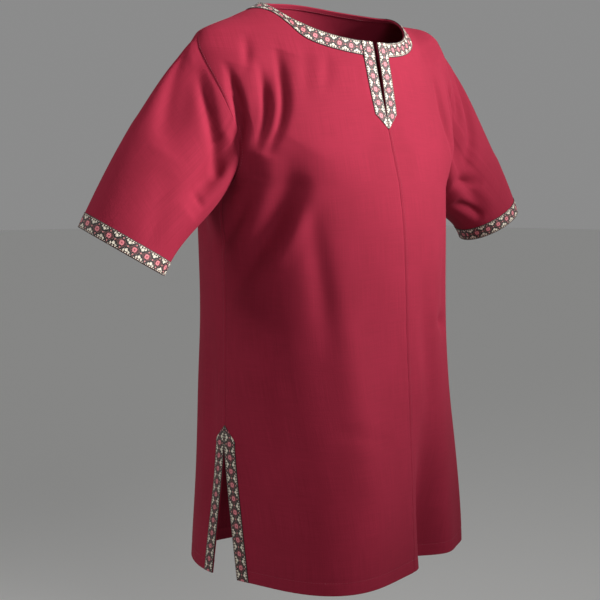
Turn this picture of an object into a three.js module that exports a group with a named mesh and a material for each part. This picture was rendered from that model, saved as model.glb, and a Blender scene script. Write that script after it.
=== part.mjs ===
import * as THREE from 'three';

// A short-sleeved pull-on tunic of heavy woven cloth, edged with a flat patterned ribbon, standing open and
// hollow as it does when worn. Millimetres, +Z up, the front faces -Y and the wearer's left is +X. The origin
// lies midway between the two side neck points, where the garment hangs on the shoulders.
//
// Every cloth piece is a thin wall on one surface. A place on the body is a pair: turn, in degrees round the
// trunk, 0 at the centre front and 90 at the wearer's left side, and height.

// ---------------------------------------------------------------- driving sizes

const CLOTH = 2; // thickness of the canvas with its turned edges
const RIBBON = 1; // thickness of the edging ribbon
const RIBBON_WIDTH = 22;
const AIR = 0.3; // left between two pieces that are sewn together

const BACK_NECK = 14; // heights, from the side neck points
const FRONT_NECK = -54;
const SHOULDER_TIP = -52;
const SLIT_CLOSES = -166;
const SLIT_TIP = -181; // where the two ribbons beside the slit meet in a point
const ARMPIT = -262;
const VENT_TIP = -606;
const VENT_OPENS = -634;
const HEM = -824;

const SLIT_HALF_GAP = 7; // at the neckline
const VENT_GAP = { front: 34, back: 18 }; // how far each edge of a side vent stands off the side at the hem
const NECK_FIRST = 27; // length of the neckline's first cell, a little over the ribbon's width
const NECK_HALF_WIDTH = 134;
const NECK_DEPTH = { front: 98, back: 58 }; // of the neckline's outline seen from above
const ARMHOLE_REACH = { front: 27, back: 28 }; // degrees that the armhole seam stands off the side line
const LEFT_SHOULDER_RAISE = 22; // the wearer's left shoulder is held a little higher

// Cross-sections of the trunk: half width, depth in front of and behind the side line, and how square the
// front and back quarters are. Above the armpit the width runs out over the arm and the seam cuts it off.
const RINGS = [
  { height: 30, half: 98, front: 62, back: 50, squareFront: -0.3, squareBack: -0.2 },
  { height: 14, half: 118, front: 70, back: 59, squareFront: -0.3, squareBack: -0.2 },
  { height: 0, half: 134, front: 78, back: 70, squareFront: -0.32, squareBack: -0.2 },
  { height: -22, half: 183, front: 88, back: 84, squareFront: -0.36, squareBack: -0.2 },
  { height: -52, half: 250, front: 98, back: 101, squareFront: -0.36, squareBack: -0.18 },
  { height: -80, half: 264, front: 105, back: 116, squareFront: -0.25, squareBack: -0.1 },
  { height: -133, half: 270, front: 117, back: 136, squareFront: -0.08, squareBack: 0 },
  { height: -203, half: 256, front: 134, back: 150, squareFront: 0, squareBack: 0.05 },
  { height: -240, half: 234, front: 144, back: 156, squareFront: 0, squareBack: 0.08 },
  { height: -268, half: 215, front: 151, back: 158, squareFront: 0, squareBack: 0.08 },
  { height: -340, half: 207, front: 160, back: 161, squareFront: 0, squareBack: 0.08 },
  { height: -450, half: 203, front: 165, back: 162, squareFront: 0, squareBack: 0.08 },
  { height: -560, half: 204, front: 168, back: 168, squareFront: 0.02, squareBack: 0.08 },
  { height: -680, half: 208, front: 173, back: 170, squareFront: 0.04, squareBack: 0.06 },
  { height: -824, half: 215, front: 178, back: 177, squareFront: 0.04, squareBack: 0.04 },
];

// Folds of the trunk, each a soft ridge (depth above 0) or trough (below 0) along a line from one place to
// another. Width is its half width across, and a hem fold keeps its full depth to its lower end.
const TRUNK_FOLDS = [
  { name: 'right front swell', turn: [-26, -36], height: [-430, -824], width: 80, depth: 58, hem: true },
  { name: 'centre hollow', turn: [11, 19], height: [-540, -824], width: 33, depth: -46, hem: true },
  { name: 'left front swell', turn: [58, 64], height: [-480, -824], width: 46, depth: 22, hem: true },
  { name: 'right back swell', turn: [-148, -142], height: [-480, -824], width: 52, depth: 8, hem: true },
  { name: 'back hollow', turn: [-172, -168], height: [-520, -824], width: 44, depth: -16, hem: true },
  { name: 'left back swell', turn: [152, 146], height: [-500, -824], width: 56, depth: 16, hem: true },
  { name: 'right chest drag', turn: [-42, -56], height: [-75, -220], width: 20, depth: -10 },
  { name: 'right armhole drag', turn: [-56, -66], height: [-100, -255], width: 22, depth: -8 },
  { name: 'right chest hollow', turn: [-36, -66], height: [-210, -345], width: 28, depth: -8 },
  { name: 'left armhole drag', turn: [54, 66], height: [-80, -240], width: 20, depth: -8 },
  { name: 'right back drag', turn: [-128, -112], height: [-90, -240], width: 22, depth: -9 },
  { name: 'left back drag', turn: [130, 112], height: [-90, -240], width: 22, depth: -9 },
];
const MM_PER_DEGREE = 3.3; // nominal girth of one degree of turn, to measure folds with

// Sleeves: the cuff's centre, the way the arm leaves it, its outer and front directions, and half sizes.
const SLEEVES = {
  right: {
    cuff: [-376, 13, -352],
    along: [-0.43, 0.1, -0.9],
    outer: [-0.68, 0.53, 0.5],
    front: [-0.6, -0.8, 0.04],
    halfWidth: 66,
    halfDepth: 50,
  },
  left: {
    cuff: [380, -12, -324],
    along: [0.42, -0.02, -0.9],
    outer: [0.88, 0, 0.47],
    front: [0, -1, 0.05],
    halfWidth: 58,
    halfDepth: 48,
  },
};

// Folds of the sleeves: round is degrees about the arm, 90 at the outer side, 0 in front, -90 at the armpit;
// down is the share of the sleeve's length.
const SLEEVE_FOLDS = [
  { hand: 'right', round: [62, 30], down: [0.06, 0.45], width: 20, depth: -7 },
  { hand: 'right', round: [-8, -38], down: [0.1, 0.55], width: 19, depth: -9 },
  { hand: 'left', round: [-16, -44], down: [0.1, 0.8], width: 20, depth: -9 },
  { hand: 'left', round: [150, 200], down: [0.05, 0.5], width: 21, depth: -7 },
  { hand: 'right', round: [140, 195], down: [0.05, 0.5], width: 21, depth: -7 },
];
const MM_PER_SLEEVE_DEGREE = 1.1;
const SLEEVE_LENGTH = 260; // nominal, to measure folds with
const LEAVE_SLOPE = 0.55; // how far the sleeve's head goes on along the shoulder before it turns down the arm

// How many cells each stretch of a panel's edge is cut into
const VENT_ROWS = 7;
const SIDE_ROWS = 8;
const ARMHOLE_ROWS = 16; // the same number climbs the centre line and the neckline
const SLIT_ROWS = 6;
const NECK_ROWS = 8;
const INNER_COLUMNS = 9;
const SLEEVE_ROWS = 8;

// ---------------------------------------------------------------- number helpers

const mix = (a, b, share) => a + (b - a) * share;
const clamp01 = (value) => Math.min(1, Math.max(0, value));
const smooth = (share) => clamp01(share) ** 2 * (3 - 2 * clamp01(share));
const radians = THREE.MathUtils.degToRad;

// A smooth curve through a table's rows (heights falling) that never overshoots them
function readTable(rows, key, height) {
  const h = Math.min(rows[0].height, Math.max(rows.at(-1).height, height));
  let i = 0;
  while (i < rows.length - 2 && rows[i + 1].height > h) i += 1;
  const slope = (n) => (rows[n + 1][key] - rows[n][key]) / (rows[n + 1].height - rows[n].height);
  const tangent = (n) => {
    if (n === 0) return slope(0);
    if (n === rows.length - 1) return slope(n - 1);
    const [before, after] = [slope(n - 1), slope(n)];
    return before * after <= 0 ? 0 : (2 * before * after) / (before + after);
  };
  const run = rows[i + 1].height - rows[i].height;
  const t = (h - rows[i].height) / run;
  return (
    (1 + 2 * t) * (1 - t) ** 2 * rows[i][key] +
    t * (1 - t) ** 2 * run * tangent(i) +
    t * t * (3 - 2 * t) * rows[i + 1][key] +
    t * t * (t - 1) * run * tangent(i + 1)
  );
}

// ---------------------------------------------------------------- the trunk's surface

// Depth of one fold at a point of a flattened surface: a bell across the fold's line, fading at its ends
function foldDepth(point, start, end, width, depth, keepsEnd) {
  const line = end.clone().sub(start);
  const along = clamp01(point.clone().sub(start).dot(line) / line.lengthSq());
  const away = point.distanceTo(start.clone().addScaledVector(line, along));
  const strength = keepsEnd ? smooth(along) : Math.sin(Math.PI * along) ** 0.7;
  return depth * strength * Math.exp(-((away / width) ** 2));
}

function trunkFolds(turn, height) {
  return TRUNK_FOLDS.reduce((sum, fold) => {
    const nearTurn = turn - 360 * Math.round((turn - fold.turn[0]) / 360);
    const point = new THREE.Vector2(nearTurn * MM_PER_DEGREE, height);
    const [start, end] = [0, 1].map((n) => new THREE.Vector2(fold.turn[n] * MM_PER_DEGREE, fold.height[n]));
    return sum + foldDepth(point, start, end, fold.width, fold.depth, fold.hem);
  }, 0);
}

// The outer face of the cloth on the trunk
function trunk(turn, height) {
  const [half, front, back, squareFront, squareBack] = ['half', 'front', 'back', 'squareFront', 'squareBack'].map(
    (key) => readTable(RINGS, key, height),
  );
  const across = Math.sin(radians(turn));
  const ahead = Math.cos(radians(turn));
  const depth = ahead > 0 ? front : back;
  const square = mix(squareFront, squareBack, (1 - ahead) / 2);
  const outward = new THREE.Vector3(across / half, -ahead / depth, 0).normalize();
  const point = new THREE.Vector3(
    half * across * (1 + square * ahead * ahead),
    -depth * ahead * (1 + square * across * across),
    height,
  );
  point.addScaledVector(outward, trunkFolds(turn, height));
  point.z += LEFT_SHOULDER_RAISE * smooth((point.x - 140) / 80) * smooth((height - ARMPIT) / 130);
  return point;
}

// ---------------------------------------------------------------- half panels

// A half panel runs from the centre line and neckline to the side seam and armhole. Places on it are pairs
// [away, height]: away is 0 on the centre line and 90 at the side.
const HANDS = { right: -1, left: 1 };

function panelSurface(side, hand) {
  const sign = HANDS[hand];
  return ([away, height]) => trunk(side === 'front' ? sign * away : sign * (180 - away), height);
}

// Splits a curve of places into lengths measured on the surface: the first one as told, the others equal
function evenly(surface, curve, count, first) {
  const FINE = 240;
  const places = Array.from({ length: FINE + 1 }, (_, n) => curve(n / FINE));
  const run = [0];
  for (let n = 1; n <= FINE; n += 1) run.push(run[n - 1] + surface(places[n]).distanceTo(surface(places[n - 1])));
  return Array.from({ length: count + 1 }, (_, k) => {
    const goal = k === 0 ? 0 : mix(first ?? run[FINE] / count, run[FINE], (k - 1) / (count - 1));
    let n = 1;
    while (n < FINE && run[n] < goal) n += 1;
    const share = (goal - run[n - 1]) / (run[n] - run[n - 1]);
    return [0, 1].map((axis) => mix(places[n - 1][axis], places[n][axis], share));
  });
}

const straight = (from, to) => (share) => [mix(from[0], to[0], share), mix(from[1], to[1], share)];

// The place on the surface nearest to a point, from a first guess
function nearestPlace(surface, point, guess) {
  let place = [...guess];
  const STEP = 0.2;
  for (let round = 0; round < 12; round += 1) {
    const here = surface(place);
    const byAway = surface([place[0] + STEP, place[1]]).sub(here).divideScalar(STEP);
    const byHeight = surface([place[0], place[1] + STEP]).sub(here).divideScalar(STEP);
    const miss = point.clone().sub(here);
    const [a, b, c] = [byAway.dot(byAway), byAway.dot(byHeight), byHeight.dot(byHeight)];
    const [p, q] = [byAway.dot(miss), byHeight.dot(miss)];
    const scale = a * c - b * b;
    place = [place[0] + (p * c - q * b) / scale, place[1] + (q * a - p * b) / scale];
  }
  return place;
}

function surfaceNormal(surface, place) {
  const STEP = 0.5;
  const byAway = surface([place[0] + STEP, place[1]]).sub(surface([place[0] - STEP, place[1]]));
  const byHeight = surface([place[0], place[1] + STEP]).sub(surface([place[0], place[1] - STEP]));
  const normal = byAway.cross(byHeight).normalize();
  const here = surface(place);
  const outward = new THREE.Vector3(here.x, here.y, 60);
  return normal.dot(outward) < 0 ? normal.negate() : normal;
}

// The places a distance inside an edge: each point steps square to it, and at a corner along the mitre. Inward
// is the way, +1 or -1, that away runs into the panel from the edge's first point.
function inset(surface, places, distance, inward) {
  const points = places.map(surface);
  const squareTo = (n) => {
    const stretch = points[n + 1].clone().sub(points[n]);
    return stretch.cross(surfaceNormal(surface, places[n])).normalize();
  };
  const probe = surface([places[0][0] + inward, places[0][1]]).sub(points[0]);
  const sign = Math.sign(squareTo(0).dot(probe));
  return places.map((place, n) => {
    const before = squareTo(Math.max(0, n - 1));
    const after = squareTo(Math.min(places.length - 2, n));
    const move = before.clone().add(after);
    move.multiplyScalar((sign * distance) / (1 + before.dot(after)));
    return nearestPlace(surface, points[n].clone().add(move), place);
  });
}

// The place a distance along the ring from another
function besidePlace(surface, place, distance) {
  const here = surface(place);
  const ahead = surface([place[0] + Math.sign(distance), place[1]]).sub(here).normalize();
  return nearestPlace(surface, here.addScaledVector(ahead, Math.abs(distance)), place);
}

const steps = (from, to, count) => Array.from({ length: count + 1 }, (_, n) => mix(from, to, n / count));

const VENT_ROW = VENT_ROWS;
const ARMPIT_ROW = VENT_ROWS + SIDE_ROWS;
const NECK_ROW = ARMPIT_ROW + ARMHOLE_ROWS - NECK_ROWS;
const TOP_ROW = ARMPIT_ROW + ARMHOLE_ROWS;
const SLIT_ROW = NECK_ROW - SLIT_ROWS;
const SIDE_COLUMN = INNER_COLUMNS + 2;

// Degrees that the two sides of the slit stand off the centre line
function slitAway(height) {
  const open = clamp01((height - SLIT_CLOSES) / (FRONT_NECK - SLIT_CLOSES));
  return THREE.MathUtils.radToDeg((SLIT_HALF_GAP * open ** 0.8) / readTable(RINGS, 'half', height));
}

function ventAway(side, height) {
  const open = clamp01((height - VENT_OPENS) / (HEM - VENT_OPENS));
  return 90 - THREE.MathUtils.radToDeg((VENT_GAP[side] * open ** 1.15) / readTable(RINGS, side, height));
}

// The neckline is half an ellipse seen from above, in front and behind, and drops or climbs to the centre
function necklinePlace(side, surface, swing) {
  const ahead = Math.cos(radians(swing));
  const height = side === 'front' ? FRONT_NECK * ahead ** 0.9 : BACK_NECK * (1 - (swing / 90) ** 3);
  const sign = Math.sign(surface([45, height]).x);
  const depth = side === 'front' ? -NECK_DEPTH.front : NECK_DEPTH.back;
  const point = new THREE.Vector3(sign * NECK_HALF_WIDTH * Math.sin(radians(swing)), depth * ahead, height);
  return nearestPlace(surface, point, [swing, height]);
}

// The place on the shoulder seam a distance down it from a height
function onShoulder(surface, height, distance) {
  const here = surface([90, height]);
  const down = surface([90, height - Math.sign(distance)]).sub(here).normalize();
  return [90, nearestPlace(surface, here.addScaledVector(down, Math.abs(distance)), [90, height])[1]];
}

function armholePlace(side, up) {
  const reach = ARMHOLE_REACH[side] * Math.sin(Math.PI * up ** 0.7) ** 0.8;
  return [90 - reach, mix(ARMPIT, SHOULDER_TIP, up)];
}

// Edge columns of a half panel, from the hem up: the centre line with half the neckline, and the ribbon's
// width inside it
function centreColumns(side, surface) {
  const ventHeights = steps(HEM, VENT_TIP, VENT_ROWS);
  const sideHeights = steps(VENT_TIP, ARMPIT, SIDE_ROWS);
  const below = [...ventHeights, ...sideHeights.slice(1)];
  const corner = side === 'front' ? [slitAway(FRONT_NECK), FRONT_NECK] : [0, BACK_NECK];
  const start = side === 'front' ? Math.asin(SLIT_HALF_GAP / NECK_HALF_WIDTH) : 0;
  const neckCurve = (share) => necklinePlace(side, surface, mix(THREE.MathUtils.radToDeg(start), 90, share));
  const neck = [corner, ...evenly(surface, neckCurve, NECK_ROWS, NECK_FIRST).slice(1, -1), [90, 0]];
  const neckInside = inset(surface, neck, RIBBON_WIDTH, 0.5);
  neckInside[NECK_ROWS] = onShoulder(surface, 0, RIBBON_WIDTH);
  const lead = corner[1] - RIBBON_WIDTH;
  const mitre = besidePlace(surface, [corner[0], lead], RIBBON_WIDTH);
  if (side === 'front') {
    const upper = [...below, ...steps(ARMPIT, SLIT_TIP, SLIT_ROW - ARMPIT_ROW).slice(1)];
    const slit = steps(SLIT_TIP, FRONT_NECK, SLIT_ROWS);
    const slitInside = steps(SLIT_TIP + RIBBON_WIDTH, lead, SLIT_ROWS);
    const rise = (n) => (n < ARMPIT_ROW ? 0 : RIBBON_WIDTH * ((n - ARMPIT_ROW) / (SLIT_ROW - ARMPIT_ROW)) ** 2);
    return [
      [...upper.map((h) => [0, h]), ...slit.slice(1, -1).map((h) => [slitAway(h), h]), ...neck],
      [
        ...upper.slice(0, -1).map((h, n) => besidePlace(surface, [0, h + rise(n)], RIBBON_WIDTH)),
        ...slitInside.slice(0, -1).map((h) => besidePlace(surface, [slitAway(h), h], RIBBON_WIDTH)),
        mitre,
        ...neckInside.slice(1),
      ],
    ];
  }
  const climb = NECK_ROW - 1 - ARMPIT_ROW;
  return [
    [...below, ...steps(ARMPIT, lead, climb).slice(1)].map((h) => [0, h]).concat(neck),
    [
      ...below.map((h) => besidePlace(surface, [0, h], RIBBON_WIDTH)),
      ...steps(ARMPIT, lead - RIBBON_WIDTH, climb).slice(1).map((h) => besidePlace(surface, [0, h], RIBBON_WIDTH)),
      mitre,
      ...neckInside.slice(1),
    ],
  ];
}

// The other two edge columns: the vent, side seam and armhole, and the ribbon's width inside them
function sideColumns(side, surface) {
  const vent = steps(HEM, VENT_TIP, VENT_ROWS).map((h) => [ventAway(side, h), h]);
  const ventInside = steps(HEM, VENT_TIP - RIBBON_WIDTH, VENT_ROWS).map((h) =>
    besidePlace(surface, [ventAway(side, h), h], -RIBBON_WIDTH),
  );
  const seam = steps(VENT_TIP, ARMPIT, SIDE_ROWS).map((h) => [90, h]);
  const armhole = evenly(surface, (share) => armholePlace(side, share), ARMHOLE_ROWS);
  const seamInside = seam.slice(1, -1).map((place, n) => {
    return besidePlace(surface, [90, place[1] - (n === 0 ? RIBBON_WIDTH / 3 : 0)], -RIBBON_WIDTH);
  });
  const armholeInside = inset(surface, [seam.at(-2), ...armhole], RIBBON_WIDTH, -0.5).slice(1);
  armholeInside[ARMHOLE_ROWS] = onShoulder(surface, SHOULDER_TIP, -RIBBON_WIDTH);
  return [
    [...ventInside, ...seamInside, ...armholeInside],
    [...vent, ...seam.slice(1, -1), ...armhole],
  ];
}

// All places, points and normals of a half panel; rows climb from the hem, columns run out from the centre
function halfPanel(side, hand) {
  const surface = panelSurface(side, hand);
  const [centre, centreInside] = centreColumns(side, surface);
  const [sideInside, edge] = sideColumns(side, surface);
  const places = centre.map((place, row) => [
    place,
    ...Array.from({ length: INNER_COLUMNS + 1 }, (_, n) =>
      straight(centreInside[row], sideInside[row])(n / INNER_COLUMNS),
    ),
    edge[row],
  ]);
  return {
    points: places.map((row) => row.map(surface)),
    normals: places.map((row) => row.map((place) => surfaceNormal(surface, place))),
  };
}

// ---------------------------------------------------------------- sheets to solids

// The two triangles of one cell of a grid, cut along its shorter diagonal, as [row, column] corners
function cellTriangles(points, row, column, columns = Infinity) {
  const next = (column + 1) % columns;
  const [a, b, c, d] = [[row, column], [row, next], [row + 1, next], [row + 1, column]];
  const gap = (from, to) => points[from[0]][from[1]].distanceTo(points[to[0]][to[1]]);
  return gap(a, c) < gap(b, d) ? [[a, b, c], [a, c, d]] : [[a, b, d], [b, c, d]];
}

function cells(points, rows, columns, wrap) {
  const found = [];
  for (let row = rows[0]; row < rows[1]; row += 1) {
    for (let column = columns[0]; column < columns[1]; column += 1) {
      found.push(...cellTriangles(points, row, column, wrap));
    }
  }
  return found;
}

// A closed solid from a sheet of triangles whose corners each have a low and a high point. Corners at one
// place are shared, faces are turned outwards, and open edges are walled from high to low, each stretch cut
// along its shorter diagonal so that two pieces along one seam have matching ends.
function sheetGeometry(triangles) {
  const corners = new Map();
  const key = (v) => v.toArray().map((size) => Math.round(size * 1000)).join(' ');
  const number = (corner) => {
    const id = key(corner.high);
    if (!corners.has(id)) corners.set(id, { ...corner, index: corners.size });
    return corners.get(id).index;
  };
  const top = [];
  for (const triangle of triangles) {
    const [a, b, c] = triangle.map((corner) => corner.high);
    const facing = b.clone().sub(a).cross(c.clone().sub(a));
    const outward = new THREE.Vector3();
    for (const corner of triangle) outward.add(corner.high).sub(corner.low);
    const order = facing.dot(outward) < 0 ? [0, 2, 1] : [0, 1, 2];
    top.push(order.map((n) => number(triangle[n])));
  }
  const edges = new Set(top.flatMap(([a, b, c]) => [`${a} ${b}`, `${b} ${c}`, `${c} ${a}`]));
  const low = corners.size;
  const indices = [];
  for (const [a, b, c] of top) indices.push(a, b, c, low + a, low + c, low + b);
  const all = [...corners.values()];
  for (const edge of edges) {
    const [a, b] = edge.split(' ').map(Number);
    if (edges.has(`${b} ${a}`)) continue;
    const fromHigh = all[b].high.distanceTo(all[a].low) < all[a].high.distanceTo(all[b].low);
    if (fromHigh) indices.push(b, a, low + a, b, low + a, low + b);
    else indices.push(b, a, low + b, a, low + a, low + b);
  }
  const positions = [...all.map((corner) => corner.high), ...all.map((corner) => corner.low)];
  const geometry = new THREE.BufferGeometry();
  geometry.setAttribute('position', new THREE.Float32BufferAttribute(positions.flatMap((v) => v.toArray()), 3));
  geometry.setIndex(indices);
  geometry.computeVertexNormals();
  return geometry;
}

// ---------------------------------------------------------------- sleeves

const vector = (values) => new THREE.Vector3(...values);

// One sleeve: lines run from the armhole's points to the cuff, leaving the shoulder along its slope and
// reaching the cuff along the arm. Rows go down the arm, columns round it from the armpit by the front.
function sleeveGrid(hand, front, back) {
  const sleeve = SLEEVES[hand];
  const [cuff, along, outer, ahead] = ['cuff', 'along', 'outer', 'front'].map((key) => vector(sleeve[key]));
  along.normalize();
  const slope = front.points[TOP_ROW][SIDE_COLUMN].clone().sub(front.points[TOP_ROW][1]).normalize();
  const climb = steps(ARMPIT_ROW, TOP_ROW, ARMHOLE_ROWS);
  const loop = [
    ...climb.map((row) => ({ from: front, row, round: mix(-90, 90, (row - ARMPIT_ROW) / ARMHOLE_ROWS) })),
    ...climb
      .slice(1, -1)
      .reverse()
      .map((row) => ({ from: back, row, round: mix(270, 90, (row - ARMPIT_ROW) / ARMHOLE_ROWS) })),
  ];
  const lines = loop.map(({ from, row, round }) => {
    const start = from.points[row][SIDE_COLUMN];
    const leave = along.clone().lerp(slope, LEAVE_SLOPE * clamp01(Math.sin(radians(round)))).normalize();
    const end = cuff
      .clone()
      .addScaledVector(outer, sleeve.halfWidth * Math.sin(radians(round)))
      .addScaledVector(ahead, sleeve.halfDepth * Math.cos(radians(round)));
    const length = start.distanceTo(end);
    return { start, end, leave, length, round };
  });
  const onLine = (line, share) => {
    const t = share;
    const point = line.start.clone().multiplyScalar((1 + 2 * t) * (1 - t) ** 2);
    point.addScaledVector(line.leave, t * (1 - t) ** 2 * line.length);
    point.addScaledVector(line.end, t * t * (3 - 2 * t));
    point.addScaledVector(along, t * t * (t - 1) * line.length);
    return point;
  };
  const shares = (line) => [...steps(0, 1 - RIBBON_WIDTH / line.length, SLEEVE_ROWS - 1), 1];
  const raw = steps(0, SLEEVE_ROWS, SLEEVE_ROWS).map((row) => lines.map((line) => onLine(line, shares(line)[row])));
  const normals = gridNormals(raw, cuff, along);
  const points = raw.map((line, row) =>
    line.map((point, n) => {
      const share = shares(lines[n])[row];
      return point.clone().addScaledVector(normals[row][n], sleeveFolds(hand, lines[n].round, share));
    }),
  );
  return { points, normals: gridNormals(points, cuff, along) };
}

function sleeveFolds(hand, round, share) {
  return SLEEVE_FOLDS.filter((fold) => fold.hand === hand).reduce((sum, fold) => {
    const place = (n) => new THREE.Vector2(fold.round[n] * MM_PER_SLEEVE_DEGREE, fold.down[n] * SLEEVE_LENGTH);
    const turns = [round, round - 360, round + 360];
    const depths = turns.map((turn) => {
      const point = new THREE.Vector2(turn * MM_PER_SLEEVE_DEGREE, share * SLEEVE_LENGTH);
      return foldDepth(point, place(0), place(1), fold.width, fold.depth, false);
    });
    return sum + depths.reduce((a, b) => (Math.abs(a) > Math.abs(b) ? a : b));
  }, 0);
}

// Normals of a tube's grid, pointing away from its middle line
function gridNormals(points, cuff, along) {
  const last = points.length - 1;
  return points.map((line, row) => {
    const count = line.length;
    const middle = line.reduce((sum, point) => sum.add(point), new THREE.Vector3()).divideScalar(count);
    return line.map((point, n) => {
      const down = points[Math.min(last, row + 1)][n].clone().sub(points[Math.max(0, row - 1)][n]);
      const round = line[(n + 1) % count].clone().sub(line[(n + count - 1) % count]);
      const normal = down.cross(round).normalize();
      return normal.dot(point.clone().sub(middle)) < 0 ? normal.negate() : normal;
    });
  });
}

// ---------------------------------------------------------------- pieces

const canvas = () => new THREE.MeshStandardMaterial({ color: 0x8f2940, roughness: 0.85, metalness: 0 });
const ribbon = () => new THREE.MeshStandardMaterial({ color: 0x3a2a26, roughness: 0.75, metalness: 0 });

const tunic = new THREE.Group();
tunic.name = 'tunic';

function addPiece(name, triangles, material) {
  const mesh = new THREE.Mesh(sheetGeometry(triangles), material);
  mesh.name = name;
  tunic.add(mesh);
}

const panels = {};
const sleeves = {};
for (const hand of ['right', 'left']) {
  panels[hand] = { front: halfPanel('front', hand), back: halfPanel('back', hand) };
  sleeves[hand] = sleeveGrid(hand, panels[hand].front, panels[hand].back);
}

// Along an armhole both cloths end in one plane, halfway between their normals
for (const hand of ['right', 'left']) {
  const { points, normals } = sleeves[hand];
  const columns = points[0].length;
  for (let n = 0; n < columns; n += 1) {
    const side = n <= ARMHOLE_ROWS ? 'front' : 'back';
    const row = n <= ARMHOLE_ROWS ? ARMPIT_ROW + n : ARMPIT_ROW + columns - n;
    const panel = panels[hand][side];
    const shared = panel.normals[row][SIDE_COLUMN].clone().add(normals[0][n]);
    const lean = Math.max(0.62, shared.length() / 2);
    shared.normalize().divideScalar(lean);
    normals[0][n] = shared;
    panel.normals[row][SIDE_COLUMN] = shared;
    if (n === 0 || n === ARMHOLE_ROWS) panels[hand].back.normals[row][SIDE_COLUMN] = shared;
  }
}

// A corner of a cloth wall, whose outer face is moved by part of the seam's air towards a neighbour
function clothCorner(point, normal, toward, distance) {
  const high = point.clone();
  if (distance > 0) high.addScaledVector(toward.clone().sub(point).normalize(), distance);
  return { high, low: high.clone().addScaledVector(normal, -CLOTH) };
}

function panelCorner(panel, [row, column], openCentre) {
  const { points, normals } = panel;
  const high = points[row][column].clone();
  const pull = (toRow, toColumn) => {
    const toward = points[toRow][toColumn].clone().sub(points[row][column]).normalize();
    high.addScaledVector(toward, AIR / 2);
  };
  if (column === SIDE_COLUMN) pull(row, column - 1);
  if (column === 0 && openCentre) pull(row, 1);
  if (row === TOP_ROW) pull(row - 1, column);
  return { high, low: high.clone().addScaledVector(normals[row][column], -CLOTH) };
}

function panelTriangles(panel, openCentre) {
  const found = cells(panel.points, [0, TOP_ROW], [0, SIDE_COLUMN]);
  return found.map((triangle) => triangle.map((place) => panelCorner(panel, place, openCentre)));
}

for (const hand of ['right', 'left']) addPiece(`front_${hand}`, panelTriangles(panels[hand].front, true), canvas());
addPiece('back', ['right', 'left'].flatMap((hand) => panelTriangles(panels[hand].back, false)), canvas());

for (const hand of ['right', 'left']) {
  const { points, normals } = sleeves[hand];
  const columns = points[0].length;
  const corner = ([row, column]) => {
    const pull = row === 0 ? AIR / 2 : 0;
    const toward = points[Math.min(row + 1, SLEEVE_ROWS)][column];
    return clothCorner(points[row][column], normals[row][column], toward, pull);
  };
  const found = cells(points, [0, SLEEVE_ROWS], [0, columns], columns);
  addPiece(`sleeve_${hand}`, found.map((triangle) => triangle.map(corner)), canvas());
}

// A ribbon lies on the cloth's outer face, `layer` ribbons up
function ribbonCorner(grid, [row, column], layer) {
  const point = grid.points[row][column];
  const normal = grid.normals[row][column].clone().normalize();
  const low = point.clone().addScaledVector(normal, AIR + layer * (RIBBON + AIR));
  return { low, high: low.clone().addScaledVector(normal, RIBBON) };
}

const isNeckCorner = ([row, column]) => row === NECK_ROW && column === 0;

// Neckline ribbon: the cells along the neckline of all four half panels, with the small triangle that closes
// the run across the centre back
const neckTriangles = ['right', 'left'].flatMap((hand) =>
  ['front', 'back'].flatMap((side) => {
    const grid = panels[hand][side];
    const found = cells(grid.points, [NECK_ROW, TOP_ROW], [0, 1]);
    const closing = cells(grid.points, [NECK_ROW - 1, NECK_ROW], [0, 1]).filter((t) => t.some(isNeckCorner));
    const whole = side === 'back' ? [...found, ...closing] : found;
    return whole.map((triangle) => triangle.map((place) => ribbonCorner(grid, place, 0)));
  }),
);
addPiece('neck_trim', neckTriangles, ribbon());

// Slit ribbons: from the pointed foot to the neckline, the last stretch lying on the neckline ribbon's end
for (const hand of ['right', 'left']) {
  const grid = panels[hand].front;
  const strip = cells(grid.points, [SLIT_ROW, NECK_ROW], [0, 1]);
  const end = cells(grid.points, [NECK_ROW, NECK_ROW + 1], [0, 1]).filter((t) => t.some(isNeckCorner));
  const corner = (place) => {
    const ready = ribbonCorner(grid, place, place[0] >= NECK_ROW ? 1 : 0);
    if (place[1] > 0) return ready;
    const aside = grid.points[place[0]][1].clone().sub(grid.points[place[0]][0]).normalize();
    for (const point of [ready.low, ready.high]) point.addScaledVector(aside, AIR / 2);
    return ready;
  };
  addPiece(`slit_trim_${hand}`, [...strip, ...end].map((triangle) => triangle.map(corner)), ribbon());
}

for (const hand of ['right', 'left']) {
  const grid = sleeves[hand];
  const columns = grid.points[0].length;
  const found = cells(grid.points, [SLEEVE_ROWS - 1, SLEEVE_ROWS], [0, columns], columns);
  const triangles = found.map((triangle) => triangle.map((place) => ribbonCorner(grid, place, 0)));
  addPiece(`cuff_trim_${hand}`, triangles, ribbon());
}

// Vent ribbons: up each edge of a side vent to the point where the pair meets on the side seam
for (const hand of ['right', 'left']) {
  for (const side of ['front', 'back']) {
    const grid = panels[hand][side];
    const found = cells(grid.points, [0, VENT_ROW], [SIDE_COLUMN - 1, SIDE_COLUMN]);
    const corner = (place) => {
      const ready = ribbonCorner(grid, place, 0);
      if (place[1] < SIDE_COLUMN) return ready;
      const aside = grid.points[place[0]][place[1] - 1].clone().sub(grid.points[place[0]][place[1]]).normalize();
      for (const point of [ready.low, ready.high]) point.addScaledVector(aside, AIR / 2);
      return ready;
    };
    addPiece(`vent_trim_${side}_${hand}`, found.map((triangle) => triangle.map(corner)), ribbon());
  }
}

export default tunic;
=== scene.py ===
import math

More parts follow.
